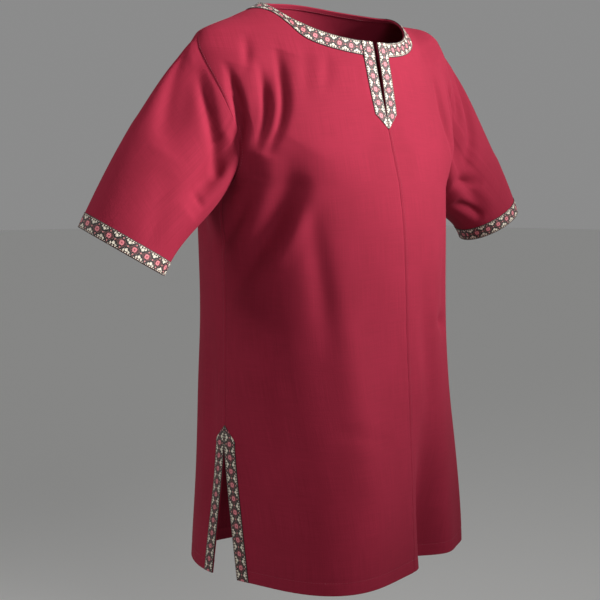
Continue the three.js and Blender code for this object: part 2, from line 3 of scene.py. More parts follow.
import bpy
import numpy as np
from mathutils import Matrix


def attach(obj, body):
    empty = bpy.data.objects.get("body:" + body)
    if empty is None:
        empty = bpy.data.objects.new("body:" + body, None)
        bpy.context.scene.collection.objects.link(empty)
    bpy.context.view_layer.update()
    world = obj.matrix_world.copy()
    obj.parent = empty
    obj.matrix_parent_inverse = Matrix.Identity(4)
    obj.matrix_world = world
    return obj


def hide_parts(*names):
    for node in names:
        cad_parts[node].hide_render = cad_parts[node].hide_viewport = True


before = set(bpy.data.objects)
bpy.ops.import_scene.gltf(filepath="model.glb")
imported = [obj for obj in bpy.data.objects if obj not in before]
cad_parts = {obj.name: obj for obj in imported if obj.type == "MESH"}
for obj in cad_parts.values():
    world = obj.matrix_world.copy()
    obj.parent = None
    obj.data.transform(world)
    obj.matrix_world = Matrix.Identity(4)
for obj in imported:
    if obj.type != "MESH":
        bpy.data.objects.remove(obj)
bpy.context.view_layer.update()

# ---------------------------------------------------------------- front panels
# Two mirrored halves of heavy cotton canvas, joined by a flat-felled seam down the centre front, with a
# slit left open above it at the neck and a vent at each side. Cloth, ribbon and stitches are worked out in
# millimetres; meshes, materials and the studio are in metres.

CANVAS_THICK = 1.5
RIBBON_WIDTH = 22.0
BACK_NECK, FRONT_NECK, SHOULDER_TIP = 14.0, -54.0, -52.0
SLIT_CLOSES, SLIT_TIP, ARMPIT = -166.0, -181.0, -262.0
VENT_TIP, VENT_OPENS, HEM = -606.0, -634.0, -824.0
SLIT_HALF_GAP = 7.0
VENT_GAP = {"front": 34.0, "back": 18.0}
NECK_HALF_WIDTH = 134.0
NECK_DEPTH = {"front": 98.0, "back": 58.0}
ARMHOLE_REACH = {"front": 27.0, "back": 28.0}
LEFT_SHOULDER_RAISE = 22.0
HANDS = {"right": -1, "left": 1}

# Cross-sections of the trunk, from the hem up: height, half width, depth in front, depth behind, squareness
# of the front quarters and of the back quarters
RINGS = np.array([
    (-824, 215, 178, 177, 0.04, 0.04), (-680, 208, 173, 170, 0.04, 0.06), (-560, 204, 168, 168, 0.02, 0.08),
    (-450, 203, 165, 162, 0, 0.08), (-340, 207, 160, 161, 0, 0.08), (-268, 215, 151, 158, 0, 0.08),
    (-240, 234, 144, 156, 0, 0.08), (-203, 256, 134, 150, 0, 0.05), (-133, 270, 117, 136, -0.08, 0),
    (-80, 264, 105, 116, -0.25, -0.1), (-52, 250, 98, 101, -0.36, -0.18), (-22, 183, 88, 84, -0.36, -0.2),
    (0, 134, 78, 70, -0.32, -0.2), (14, 118, 70, 59, -0.3, -0.2), (30, 98, 62, 50, -0.3, -0.2),
], float)

# Folds: the turn and height of each end, half width across, depth (ridges above 0, troughs below), sideways
# bow of the line, how much steeper one flank is, and 1 where the fold keeps its depth to its lower end.
# Turn is in degrees: 0 centre front, 90 the wearer's left side, 180 centre back.
MAIN_FOLDS = [
    (-26, -430, -36, -824, 80, 58, 0, 0, 1), (11, -540, 19, -824, 33, -46, 0, 0, 1),
    (58, -480, 64, -824, 46, 22, 0, 0, 1), (-148, -480, -142, -824, 52, 8, 0, 0, 1),
    (-172, -520, -168, -824, 44, -16, 0, 0, 1), (152, -500, 146, -824, 56, 16, 0, 0, 1),
    (-42, -75, -56, -220, 20, -10, 0, 0, 0), (-56, -100, -66, -255, 22, -8, 0, 0, 0),
    (-36, -210, -66, -345, 28, -8, 0, 0, 0), (54, -80, 66, -240, 20, -8, 0, 0, 0),
    (-128, -90, -112, -240, 22, -9, 0, 0, 0), (130, -90, 112, -240, 22, -9, 0, 0, 0),
]
CREASES = [
    # drags from the right shoulder that bow round the armhole, the pocket beside it, and the sweep to the
    # side
    (-47, -58, -55, -230, 7, -9, -34, -0.4, 0), (-52, -84, -60, -222, 7, -7, -28, -0.4, 0),
    (-66, -88, -70, -232, 9, -15, -26, -0.3, 0), (-62, -198, -98, -304, 12, -8, 0, 0, 0),
    (-60, -48, -56, -112, 7, -4, -6, 0, 0), (-36, -58, -32, -150, 10, -3, -6, 0, 0),
    (-26, -64, -25, -140, 8, -2.5, -4, 0, 0), (-41, -212, -92, -436, 18, -11, -8, -0.2, 0),
    (-35, -240, -68, -400, 14, 5, -6, 0, 0), (-66, -262, -100, -380, 10, -5, 0, 0, 0),
    # the right front's long ridge, the trough behind it, and the hollow beside the centre seam
    (-44.5, -245, -37, -520, 17, -5, 0, 0, 0), (-33, -330, -23, -800, 26, 7, 0, 0, 0),
    (-62, -430, -54, -700, 16, -4, 6, 0, 0), (12, -370, 19, -660, 20, -7, 0, 0, 0),
    (24, -455, 46, -480, 12, -7, 0, 0, 0), (-40, -600, -12, -628, 10, -2, 0, 0, 0),
    # the left front, a little less pulled
    (42, -80, 51, -230, 8, -7, 26, 0.3, 0), (54, -84, 61, -224, 8, -6, 24, 0.3, 0),
    (67, -96, 71, -228, 9, -12, 22, 0.3, 0), (52, -215, 84, -380, 18, -8, 8, 0, 0),
    (40, -300, 34, -560, 22, -4, 0, 0, 0), (74, -380, 70, -700, 20, 4, 0, 0, 0),
    # the back: drags at both armholes, a soft hollow down the spine, long ridges over the seat
    (-142, -76, -126, -226, 9, -6, 22, 0.3, 0), (-122, -92, -112, -230, 10, -10, 20, 0.3, 0),
    (149, -74, 134, -216, 9, -5.5, -20, -0.3, 0), (123, -90, 113, -232, 11, -11, -20, -0.3, 0),
    (179, -60, 174, -320, 30, -4, 0, 0, 0), (160, -380, 150, -740, 26, 5, 0, 0, 0),
    (-160, -350, -167, -640, 26, -5, 0, 0, 0), (-104, -420, -99, -800, 20, -4, 0, 0, 0),
    (104, -400, 98, -760, 22, 4, 0, 0, 0), (-158, -430, -128, -456, 13, -4, 3, 0, 0),
    (132, -238, 98, -372, 15, -6, -6, 0, 0), (-126, -244, -98, -352, 15, -6, 6, 0, 0),
]
MM_PER_DEGREE = 3.3
CREASE_FADE = 1.5
PROBE = 0.2  # step of a place, by which a slope is found
LEVEL, UPWARDS = (1, 1, 0), (0, 0, 60)  # turn a point into a way outwards from the trunk's upright line


def smooth(share):
    """Runs from 0 to 1 with level ends: three times the square less twice the cube."""
    t = np.clip(share, 0, 1)
    return t * t * (3 - 2 * t)


def ring_size(column, height):
    """A column of the ring table at any height: a cubic between rows, with the harmonic mean of the slopes
    on both sides as its slope at a row, so that it never overshoots."""
    h, v = RINGS[:, 0], RINGS[:, column]
    slope = np.diff(v) / np.diff(h)
    product = slope[:-1] * slope[1:]
    inner = np.where(product > 0, 2 * product / np.where(product > 0, slope[:-1] + slope[1:], 1), 0)
    tangent = np.concatenate([slope[:1], inner, slope[-1:]])
    z = np.clip(height, h[0], h[-1])
    i = np.clip(np.searchsorted(h, z, side="right") - 1, 0, len(h) - 2)
    run = h[i + 1] - h[i]
    t = (z - h[i]) / run
    ends = (1 + 2 * t) * (1 - t) ** 2 * v[i] + t * t * (3 - 2 * t) * v[i + 1]
    return ends + t * (1 - t) ** 2 * run * tangent[i] + t * t * (t - 1) * run * tangent[i + 1]


def fold_depth(x, y, folds, scale, fade=0.7):
    """Sum over the folds of depth times a bell across the fold's bowed line, fading along it towards both
    ends, or growing towards the lower end for those that keep it. x is in degrees, scale millimetres to a
    degree, and fade the power of the sine that the ends fade by."""
    total = np.zeros(np.broadcast(x, y).shape)
    for x0, y0, x1, y1, width, depth, bow, lean, keeps in folds:
        near = x - 360 * np.round((x - x0) / 360)
        run = np.array([(x1 - x0) * scale, y1 - y0])
        length = np.hypot(*run)
        ahead = run / length
        px, py = near * scale - x0 * scale, y - y0
        along = np.clip((px * ahead[0] + py * ahead[1]) / length, 0, 1)
        side = px * ahead[1] - py * ahead[0] - bow * np.sin(np.pi * along)
        past = (px * ahead[0] + py * ahead[1]) - along * length
        away = np.hypot(side, past) / width
        strength = smooth(along) if keeps else np.sin(np.pi * along).clip(0) ** fade
        total += depth * strength * np.exp(-away * away) * (1 + lean * np.clip(side / width, -1.4, 1.4))
    return total


def trunk(turn, height, creased):
    """Outer face of the cloth: a squared ellipse of the ring table's sizes at that height, moved outwards
    by the folds, with the left shoulder lifted. creased adds the finer creases to the main folds."""
    half, front, back, square_front, square_back = (ring_size(c, height) for c in range(1, 6))
    across, ahead = np.sin(np.radians(turn)), np.cos(np.radians(turn))
    depth = np.where(ahead > 0, front, back)
    square = square_front + (square_back - square_front) * (1 - ahead) / 2
    out_x, out_y = across / half, -ahead / depth
    size = np.hypot(out_x, out_y)
    push = fold_depth(turn, height, MAIN_FOLDS, MM_PER_DEGREE)
    if creased:
        push = push + fold_depth(turn, height, CREASES, MM_PER_DEGREE, CREASE_FADE)
    x = half * across * (1 + square * ahead**2) + push * out_x / size
    y = -depth * ahead * (1 + square * across**2) + push * out_y / size
    raised = LEFT_SHOULDER_RAISE * smooth((x - 140) / 80) * smooth((height - ARMPIT) / 130)
    return np.stack([x, y, height + raised], -1)


def panel_surface(side, hand):
    """The trunk under one half panel. A place on it is (away, height), away 0 at the centre and 90 at the
    side."""
    sign = HANDS[hand]

    def surface(places, creased=False):
        away, height = places[..., 0], places[..., 1]
        return trunk(sign * away if side == "front" else sign * (180 - away), height, creased)

    surface.side, surface.sign = side, sign
    return surface


def unit(vectors):
    """Vectors at length one."""
    return vectors / np.linalg.norm(vectors, axis=-1, keepdims=True)


def nearest_place(surface, points, places):
    """Places whose surface points are nearest the given ones: twelve Gauss-Newton steps from a first
    guess."""
    places = np.array(places, float)
    for _ in range(12):
        here = surface(places)
        by_away = (surface(places + (PROBE, 0)) - here) / PROBE
        by_height = (surface(places + (0, PROBE)) - here) / PROBE
        miss = points - here
        a, b, c = (by_away**2).sum(-1), (by_away * by_height).sum(-1), (by_height**2).sum(-1)
        p, q = (by_away * miss).sum(-1), (by_height * miss).sum(-1)
        places = places + np.stack([p * c - q * b, q * a - p * b], -1) / (a * c - b * b)[..., None]
    return places


def surface_normal(surface, places, creased=False):
    """Outward normal: across the slopes by away and by height, turned away from the trunk's middle."""
    by_away = surface(places + (0.5, 0), creased) - surface(places - (0.5, 0), creased)
    by_height = surface(places + (0, 0.5), creased) - surface(places - (0, 0.5), creased)
    normal = unit(np.cross(by_away, by_height))
    outward = surface(places) * LEVEL + UPWARDS
    return normal * np.sign((normal * outward).sum(-1, keepdims=True))


def inset(surface, places, distance, inward):
    """Each place of a curve moved square to it along the surface, on the mitre where the curve bends.
    inward is a small step of (away, height) into the cloth from the curve's first place."""
    points = surface(places)
    square = unit(np.cross(np.diff(points, axis=0), surface_normal(surface, places)[:-1]))
    sign = np.sign(square[0] @ (surface(places[0] + inward) - points[0]))
    before, after = np.vstack([square[:1], square]), np.vstack([square, square[-1:]])
    move = (before + after) * (sign * distance / (1 + (before * after).sum(1)))[:, None]
    return nearest_place(surface, points + move, places)


def beside(surface, places, distance):
    """Places a distance round the trunk from others."""
    places = np.asarray(places, float)
    here = surface(places)
    ahead = unit(surface(places + (np.sign(distance), 0)) - here)
    return nearest_place(surface, here + ahead * abs(distance), places)


def runs(points):
    """Length along a line of points, up to each."""
    return np.concatenate([[0], np.cumsum(np.linalg.norm(np.diff(points, axis=0), axis=1))])


def spaced(surface, places, shares):
    """Places along a curve at shares of its length on the surface."""
    run = runs(surface(places))
    return np.stack([np.interp(shares * run[-1], run, places[:, k]) for k in (0, 1)], 1)


def slit_away(height):
    """Degrees that a slit edge stands off the centre: the gap opens as the 0.8th power of the way up."""
    opened = np.clip((height - SLIT_CLOSES) / (FRONT_NECK - SLIT_CLOSES), 0, 1)
    return np.degrees(SLIT_HALF_GAP * opened**0.8 / ring_size(1, height))


def vent_away(side, height):
    """Degrees from the centre to a vent's edge, which leaves the side line as the 1.15th power of the way
    down."""
    opened = np.clip((height - VENT_OPENS) / (HEM - VENT_OPENS), 0, 1)
    return 90 - np.degrees(VENT_GAP[side] * opened**1.15 / ring_size(2 if side == "front" else 3, height))


def neckline(surface, swing):
    """The neckline is half an ellipse in plan; in front it drops as the 0.9th power of the cosine, behind
    it climbs by one less the cube of the swing's share."""
    ahead = np.clip(np.cos(np.radians(swing)), 0, 1)
    front = surface.side == "front"
    height = FRONT_NECK * ahead**0.9 if front else BACK_NECK * (1 - (swing / 90) ** 3)
    depth = -NECK_DEPTH["front"] if front else NECK_DEPTH["back"]
    x = surface.sign * NECK_HALF_WIDTH * np.sin(np.radians(swing))
    return nearest_place(surface, np.stack([x, depth * ahead, height], -1), np.stack([swing, height], -1))


def shoulder_place(surface, height, distance):
    """The place on the shoulder seam a distance down it from a height."""
    here = surface(np.array([90.0, height]))
    down = unit(surface(np.array([90, height - np.sign(distance)])) - here)
    return np.array([90, nearest_place(surface, here + down * abs(distance), [90, height])[1]])


def armhole_place(side, up):
    """Armhole seam from the armpit to the shoulder tip: it reaches in by a sine of the 0.7th power of the
    climb."""
    reach = ARMHOLE_REACH[side] * np.sin(np.pi * np.clip(up, 0, 1) ** 0.7).clip(0) ** 0.8
    return np.stack([90 - reach, ARMPIT + (SHOULDER_TIP - ARMPIT) * up], -1)


# Rows of a half panel, from the hem up, closer together at the hem's stitch line and at the shoulder seam
HEM_LINE = 18.0
HEM_STEPS = [0, 1, 4, 9, 14, 16.4, HEM_LINE, 19.6, 23]
VENT_HEIGHTS = HEM + np.concatenate([HEM_STEPS, np.linspace(28, VENT_TIP - HEM, 40)])
SIDE_HEIGHTS = np.linspace(VENT_TIP, ARMPIT, 73)
CENTRE_STEPS, SLIT_STEPS, NECK_STEPS = 14, 34, 49
NECK_SHARES = np.sort(np.append(np.linspace(0, 1, NECK_STEPS), 0.994))
CLIMB_SHARES = np.sort(np.append(np.linspace(0, 1, CENTRE_STEPS + SLIT_STEPS + NECK_STEPS), 0.996))
VENT_ROW = len(VENT_HEIGHTS) - 1
ARMPIT_ROW = VENT_ROW + len(SIDE_HEIGHTS) - 1
SLIT_ROW = ARMPIT_ROW + CENTRE_STEPS
NECK_ROW = SLIT_ROW + SLIT_STEPS
# Columns within a ribbon's width of an edge, as shares of that width, closer together at the edge
BAND = np.array([0, 0.04, 0.1, 0.2, 0.36, 0.6, 1])
INNER_COLUMNS = 58


def inside_curve(surface, places, start, skip, end, inward, shares):
    """The line a ribbon's width inside an edge, from its corner to the shoulder, spaced as the edge's rows
    are."""
    found = inset(surface, places, RIBBON_WIDTH, inward)
    kept = found[runs(surface(places)) > skip]
    fade = smooth(np.linspace(-1, 1, len(kept)))[:, None]
    kept = kept + (end - kept[-1]) * fade
    return spaced(surface, np.vstack([start, kept]), shares)


def centre_edges(surface):
    """The centre line with half the neckline, and the line a ribbon's width inside it."""
    below = np.concatenate([VENT_HEIGHTS, SIDE_HEIGHTS[1:]])
    front = surface.side == "front"
    top = FRONT_NECK if front else BACK_NECK
    swing = np.linspace(math.degrees(math.asin(SLIT_HALF_GAP / NECK_HALF_WIDTH)) if front else 0, 90, 300)
    neck = spaced(surface, neckline(surface, swing), NECK_SHARES)
    neck[-1] = 90, 0
    lead = top - RIBBON_WIDTH
    corner = beside(surface, [neck[0, 0], lead], RIBBON_WIDTH)
    shoulder = shoulder_place(surface, 0, RIBBON_WIDTH)
    neck_inside = inside_curve(surface, neck, corner, RIBBON_WIDTH + 3, shoulder, (0, -1), NECK_SHARES)
    if front:
        climb = np.linspace(ARMPIT, SLIT_TIP, CENTRE_STEPS + 1)[1:]
        rise = RIBBON_WIDTH * np.linspace(0, 1, CENTRE_STEPS + 1)[1:] ** 2
        slit = np.linspace(SLIT_TIP, FRONT_NECK, SLIT_STEPS + 1)[1:]
        slit_inside = np.linspace(SLIT_TIP + RIBBON_WIDTH, lead, SLIT_STEPS + 1)[1:]
        heights = np.concatenate([below, climb, slit[:-1]])
        inner = np.concatenate([below, climb + rise, slit_inside[:-1]])
    else:
        heights = np.concatenate([below, np.linspace(ARMPIT, BACK_NECK, CENTRE_STEPS + SLIT_STEPS + 1)[1:-1]])
        inner = np.concatenate([below, np.linspace(ARMPIT, lead, CENTRE_STEPS + SLIT_STEPS + 1)[1:-1]])
    away, inner_away = (slit_away(h) if front else h * 0 for h in (heights, inner))
    edge = np.vstack([np.stack([away, heights], 1), neck])
    inside = beside(surface, np.stack([inner_away, inner], 1), RIBBON_WIDTH)
    return edge, np.vstack([inside, neck_inside])


def side_edges(surface):
    """The vent, side seam and armhole, and the line a ribbon's width inside them."""
    side = surface.side
    vent = np.stack([vent_away(side, VENT_HEIGHTS), VENT_HEIGHTS], 1)
    share = (VENT_HEIGHTS - HEM) / (VENT_TIP - HEM)
    low = VENT_HEIGHTS - RIBBON_WIDTH * share
    seam = np.stack([SIDE_HEIGHTS * 0 + 90, SIDE_HEIGHTS], 1)[1:]
    drop_below = RIBBON_WIDTH * np.clip(1 - (seam[:, 1] - VENT_TIP) / 80, 0, 1) ** 2
    late = seam - np.stack([seam[:, 0] * 0, drop_below], 1)
    armhole = spaced(surface, armhole_place(side, np.linspace(0, 1, 400)), CLIMB_SHARES)
    edge = np.vstack([vent, seam, armhole[1:]])
    turning = np.vstack([[90, ARMPIT - 20], [90, ARMPIT], armhole[8]])
    corner = inset(surface, turning, RIBBON_WIDTH, (-0.5, 0))[1]
    shoulder = shoulder_place(surface, SHOULDER_TIP, -RIBBON_WIDTH)
    arm_inside = inside_curve(surface, armhole, corner, 18, shoulder, (-0.5, 0), CLIMB_SHARES)
    up = np.stack([vent_away(side, low), low], 1)
    seam_inside = beside(surface, late, -RIBBON_WIDTH)
    drop = (corner - seam_inside[-1]) * smooth((seam[:, 1:] - ARMPIT + 120) / 120)
    inside = np.vstack([beside(surface, up, -RIBBON_WIDTH), seam_inside + drop, arm_inside[1:]])
    return inside, edge


def half_panel(side, hand):
    """All places of a half panel: straight lines between its two edges and the lines inside them."""
    surface = panel_surface(side, hand)
    edge, inside = centre_edges(surface)
    side_inside, side_edge = side_edges(surface)
    between = np.linspace(0, 1, INNER_COLUMNS + 1)[1:-1]
    lines = [edge + (inside - edge) * s for s in BAND]
    lines += [inside + (side_inside - inside) * s for s in between]
    lines += [side_edge + (side_inside - side_edge) * s for s in BAND[::-1]]
    return surface, np.stack(lines, 1)


def lengths_along(surface, places):
    """Thread lengths of each place: round the trunk from the centre line, and up it from the hem."""
    t = np.linspace(0, 1, 14)[:, None, None]
    away, height = places[None, ..., 0], places[None, ..., 1]
    level = surface(np.stack(np.broadcast_arrays(away * t, height), -1))
    plumb = surface(np.stack(np.broadcast_arrays(away, HEM + (height - HEM) * t), -1))
    return np.stack([np.linalg.norm(np.diff(level, axis=0), axis=-1).sum(0),
                     np.linalg.norm(np.diff(plumb, axis=0), axis=-1).sum(0)], -1)


def seam_valley(points, normals, line_distance, depth=0.7, width=1.5):
    """Points sunk by a narrow bell of their distance to a seam."""
    return points - normals * (depth * np.exp(-((line_distance / width) ** 2)))[..., None]


def panel_points(side, hand):
    """Creased points of a half panel, its outward normals, and its thread lengths, with its seams sunk in."""
    surface, places = half_panel(side, hand)
    points, normals = surface(places, True), surface_normal(surface, places, True)
    rows = np.arange(len(points))[:, None]
    step_right = np.linalg.norm(np.diff(points, axis=1), axis=-1)
    from_centre = np.concatenate([np.zeros((len(points), 1)), np.cumsum(step_right, 1)], 1)
    from_side = from_centre[:, -1:] - from_centre
    from_top = np.linalg.norm(points - points[-1:], axis=-1)
    far = 99.0  # past the reach of any seam's valley
    if side == "front":
        points = seam_valley(points, normals, np.where(rows <= SLIT_ROW, from_centre, far))
    points = seam_valley(points, normals, np.where(rows >= VENT_ROW, from_side, far))
    points = seam_valley(points, normals, from_top)
    hem = np.abs(places[..., 1] - HEM - HEM_LINE)
    points = seam_valley(points, normals, hem, 0.5, 1.6)
    pucker = 0.35 * np.sin(points[..., 2] / 5.3 + 2 * np.sin(points[..., 2] / 17)) * np.exp(-from_centre / 9)
    points = points + normals * np.where((rows <= SLIT_ROW) & (side == "front"), pucker, 0)[..., None]
    return surface, points, normals, lengths_along(surface, places)


def linear(hex_colour):
    """An sRGB hex value as a linear colour with alpha 1."""
    parts = [int(hex_colour[i:i + 2], 16) / 255 for i in (1, 3, 5)]
    return tuple(p / 12.92 if p <= 0.04045 else ((p + 0.055) / 1.055) ** 2.4 for p in parts) + (1.0,)


def add(tree, kind, inputs=None, **settings):
    """Adds a node, with its settings and its inputs: a socket is linked and a plain value is set."""
    made = tree.nodes.new("ShaderNode" + kind)
    for name, value in settings.items():
        setattr(made, name, value)
    for name, value in (inputs or {}).items():
        socket = made.inputs[name]
        if isinstance(value, bpy.types.NodeSocket):
            tree.links.new(value, socket)
        else:
            socket.default_value = value
    return made


def new_material(name):
    """An empty material with a Principled shader, and its tree."""
    material = bpy.data.materials.new(name)
    material.use_nodes = True
    return material, material.node_tree, material.node_tree.nodes["Principled BSDF"]


def weave_height(tree, pitch_u, pitch_v):
    """Height of a plain weave: the product of two sines over the thread lengths, in metres."""
    place = add(tree, "UVMap", uv_map="thread").outputs["UV"]
    parts = add(tree, "SeparateXYZ", {"Vector": place})
    waves = []
    for axis, pitch in (("X", pitch_u), ("Y", pitch_v)):
        turn = add(tree, "Math", {0: parts.outputs[axis], 1: math.pi / pitch}, operation="MULTIPLY")
        waves.append(add(tree, "Math", {0: turn.outputs[0]}, operation="SINE").outputs[0])
    return place, add(tree, "Math", {0: waves[0], 1: waves[1]}, operation="MULTIPLY").outputs[0]


def canvas_material():
    """Piece-dyed cotton canvas, plain woven of slubby yarn: matt, with a soft bloom at grazing angles. The
    threads are taken as 0.55 mm apart and are drawn at 1.1 mm, so that they show."""
    material, tree, shader = new_material("crimson cotton canvas")
    place, weave = weave_height(tree, 0.0011, 0.0011)
    weft = add(tree, "Mapping", {"Vector": place, "Scale": (22, 900, 1)})
    warp = add(tree, "Mapping", {"Vector": place, "Scale": (900, 16, 1)})
    slub = add(tree, "TexNoise", {"Vector": weft.outputs[0], "Scale": 1.0, "Detail": 2.0, "Roughness": 0.6})
    yarn = add(tree, "TexNoise", {"Vector": warp.outputs[0], "Scale": 1.0, "Detail": 1.0})
    cloud = add(tree, "TexNoise", {"Vector": place, "Scale": 9.0, "Detail": 3.0})
    mixed = add(tree, "Math", {0: slub.outputs[0], 1: yarn.outputs[0]}, operation="ADD")
    tone = add(tree, "Math", {0: mixed.outputs[0], 1: cloud.outputs[0]}, operation="ADD")
    ramp = add(tree, "MapRange", {"Value": tone.outputs[0], "From Min": 1.05, "From Max": 1.95})
    colour = add(tree, "Mix", {"Factor": ramp.outputs[0], 6: linear("#721628"), 7: linear("#821c31")},
                 data_type="RGBA")
    tree.links.new(colour.outputs[2], shader.inputs["Base Color"])
    rough = add(tree, "Math", {0: mixed.outputs[0], 1: 0.5}, operation="MULTIPLY")
    height = add(tree, "Math", {0: weave, 1: 0.3, 2: rough.outputs[0]}, operation="MULTIPLY_ADD")
    bump = add(tree, "Bump", {"Height": height.outputs[0], "Strength": 0.35, "Distance": 0.0004})
    tree.links.new(bump.outputs[0], shader.inputs["Normal"])
    shader.inputs["Roughness"].default_value = 0.88
    shader.inputs["Specular IOR Level"].default_value = 0.12
    shader.inputs["Sheen Weight"].default_value = 0.08
    shader.inputs["Sheen Roughness"].default_value = 0.4
    shader.inputs["Sheen Tint"].default_value = linear("#dc4a68")
    return material


CANVAS = canvas_material()


def cloth_object(name, points, lengths, material, thick, closed=False, opens=None):
    """A shell from a grid of outer-face points in millimetres, with its thread lengths in metres as a UV
    map. Its faces are turned outwards and Solidify gives it its thickness on the inside. closed joins the
    last column to the first. opens is a (column, row): the next column is joined to that one up to the row,
    and parts from it above."""
    rows, columns = points.shape[:2]
    at = np.arange(rows * columns).reshape(rows, columns)
    kept = np.ones(columns if closed else columns - 1, bool)
    if opens:
        at[:opens[1] + 1, opens[0] + 1] = at[:opens[1] + 1, opens[0]]
        kept[opens[0]] = False
    ahead = np.roll(at, -1, 1)
    faces = np.stack([at[:-1], ahead[:-1], ahead[1:], at[1:]], -1)[:, :len(kept)][:, kept]
    row_of_face = np.repeat(np.arange(rows - 1), kept.sum())
    used, faces = np.unique(faces.reshape(-1, 4), return_inverse=True)
    faces, flat = faces.reshape(-1, 4), points.reshape(-1, 3)[used]
    a, b, d = flat[faces[:, 0]], flat[faces[:, 1]], flat[faces[:, 3]]
    middle = flat[faces].mean(1) - (points.mean(1)[row_of_face] if closed else 0)
    outward = middle if closed else middle * LEVEL + UPWARDS
    if (np.cross(b - a, d - a) * outward).sum() < 0:
        faces = faces[:, ::-1]
    mesh = bpy.data.meshes.new(name)
    mesh.from_pydata((flat / 1000).tolist(), [], faces.tolist())
    uv = mesh.uv_layers.new(name="thread")
    corner_lengths = lengths.reshape(-1, 2)[used][faces.ravel()] / 1000
    uv.data.foreach_set("uv", corner_lengths.ravel().astype(np.float32))
    mesh.shade_smooth()
    mesh.materials.append(material)
    made = bpy.data.objects.new(name, mesh)
    bpy.context.collection.objects.link(made)
    shell = made.modifiers.new("thickness", "SOLIDIFY")
    shell.thickness, shell.offset = thick / 1000, -1
    return made


panels = {}
for hand in ("right", "left"):
    surface, points, normals, lengths = panel_points("front", hand)
    panels["front", hand] = surface, points, normals
    piece = cloth_object(f"front_{hand}_canvas", points, lengths, CANVAS, CANVAS_THICK)
    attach(piece, "root")
    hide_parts(f"front_{hand}")

# ---------------------------------------------------------------- back panel
# One piece of the same canvas, cut on the fold so that it has no seam down its middle. It is joined to the
# fronts by felled seams at the shoulders and sides, with the vents left open below.

halves = {}
for hand in ("right", "left"):
    surface, points, normals, lengths = panel_points("back", hand)
    panels["back", hand] = surface, points, normals
    halves[hand] = points, lengths * (HANDS[hand], 1)
points, lengths = (np.concatenate([halves["right"][k][:, ::-1], halves["left"][k]], 1) for k in (0, 1))
back_panel = cloth_object("back_canvas", points, lengths, CANVAS, CANVAS_THICK,
                          opens=(halves["right"][0].shape[1] - 1, NECK_ROW))
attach(back_panel, "root")
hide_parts("back")

# ---------------------------------------------------------------- sleeves
# Short set-in sleeves, each one piece of the canvas with a seam under the arm. The cap is eased into the
# armhole and felled to it, and the sleeve tapers to the cuff.

# Each sleeve's cuff centre, way along the arm, outer and front directions, half width and half depth
SLEEVES = {
    "right": ((-376, 13, -352), (-0.43, 0.1, -0.9), (-0.68, 0.53, 0.5), (-0.6, -0.8, 0.04), 66, 50),
    "left": ((380, -12, -324), (0.42, -0.02, -0.9), (0.88, 0, 0.47), (0, -1, 0.05), 58, 48),
}
# Folds as for the trunk, but over degrees round the arm (90 outer side, 0 front, -90 armpit) and share of
# length
SLEEVE_FOLDS = {
    "right": [(62, 0.06, 30, 0.45, 20, -7, 0, 0, 0), (-8, 0.1, -38, 0.55, 19, -9, 0, 0, 0),
              (140, 0.05, 195, 0.5, 21, -7, 0, 0, 0), (88, 0.08, 42, 0.42, 12, -5, 0, 0, 0),
              (66, 0.0, -34, 0.26, 11, -10, 0, 0, 0), (-18, 0.45, -50, 0.42, 6, -3, 0, 0, 0),
              (118, 0.1, 100, 0.5, 12, -4, 0, 0, 0), (10, 0.5, -30, 0.9, 14, -2.5, 0, 0, 0)],
    "left": [(-16, 0.1, -44, 0.8, 20, -9, 0, 0, 0), (150, 0.05, 200, 0.5, 21, -7, 0, 0, 0),
             (58, -0.02, 14, 0.14, 8, -6, 0, 0, 0), (80, 0.12, -10, 0.4, 12, -9, 0, 0, 0),
             (-52, 0.2, -6, 0.58, 8, -7, 0, 0, 0), (-66, 0.38, -46, 0.8, 9, -7, 0, 0, 0),
             (100, 0.2, 60, 0.66, 13, -4, 0, 0, 0), (128, 0.1, 150, 0.5, 12, -4, 0, 0, 0)],
}
# Longest line of a sleeve, in millimetres
SLEEVE_LENGTH = 260.0
LEAVE_SLOPE = 0.55  # how far the top leaves the armhole along the shoulder's slope
MM_PER_ARM_DEGREE = 1.1
FOLDS_BEGIN = 0.1  # share of the length over which the folds grow from the seam
SEAM_SINK, SEAM_SINK_WIDTH = 0.9, 1.4
CLIMB_ROWS = len(CLIMB_SHARES) - 1


def grid_normals(points):
    """Normals of a grid that closes on itself in columns, from the lines through each corner's neighbours."""
    return unit(np.cross(np.gradient(points, axis=0), (np.roll(points, -1, 1) - np.roll(points, 1, 1)) / 2))


